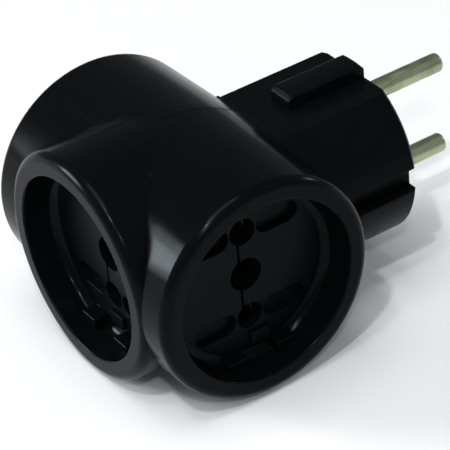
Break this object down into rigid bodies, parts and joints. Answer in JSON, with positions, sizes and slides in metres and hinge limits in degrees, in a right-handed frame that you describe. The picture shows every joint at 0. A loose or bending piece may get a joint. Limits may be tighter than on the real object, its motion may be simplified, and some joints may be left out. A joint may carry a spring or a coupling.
{
  "type": "socket adapter",
  "caption": "T-shaped black socket adapter: a cup-shaped socket faces forward and to each side of a rounded body, with a round keyed plug and bare pins behind.",
  "frame": {"origin": "middle of the plug face, between the two pins", "axes": "+Y leaves along the pins, +X and -X look out of the side cups, -Y out of the front cup, +Z from the lower pin to the upper pin"},
  "size_m": [0.0588, 0.0866, 0.0474],
  "materials": {
    "housing_plastic": "glossy moulded black",
    "plug_plastic": "glossy moulded black",
    "face_plastic": "satin moulded black",
    "carrier_plastic": "dull moulded black",
    "contact_brass": "plain rolled",
    "pin_nickel": "bright nickel plate, slightly worn",
    "fixing_steel": "zinc plate"
  },
  "bodies": {
    "root": {"housing": "housing_plastic", "plug_body": "plug_plastic", "socket_face_front": "face_plastic", "socket_face_right": "face_plastic", "socket_face_left": "face_plastic", "contact_carrier": "carrier_plastic", "live_rail_upper": "contact_brass", "live_rail_lower": "contact_brass", "contact_upper_front": "contact_brass", "contact_upper_right": "contact_brass", "contact_upper_left": "contact_brass", "contact_lower_front": "contact_brass", "contact_lower_right": "contact_brass", "contact_lower_left": "contact_brass", "clip_rivet_upper_front": "fixing_steel", "clip_rivet_upper_right": "fixing_steel", "clip_rivet_upper_left": "fixing_steel", "clip_rivet_lower_front": "fixing_steel", "clip_rivet_lower_right": "fixing_steel", "clip_rivet_lower_left": "fixing_steel", "pin_upper": "pin_nickel", "pin_lower": "pin_nickel", "pin_washer_upper": "fixing_steel", "pin_washer_lower": "fixing_steel", "closing_screw": "fixing_steel", "screw_insert": "contact_brass"}
  },
  "joints": []
}
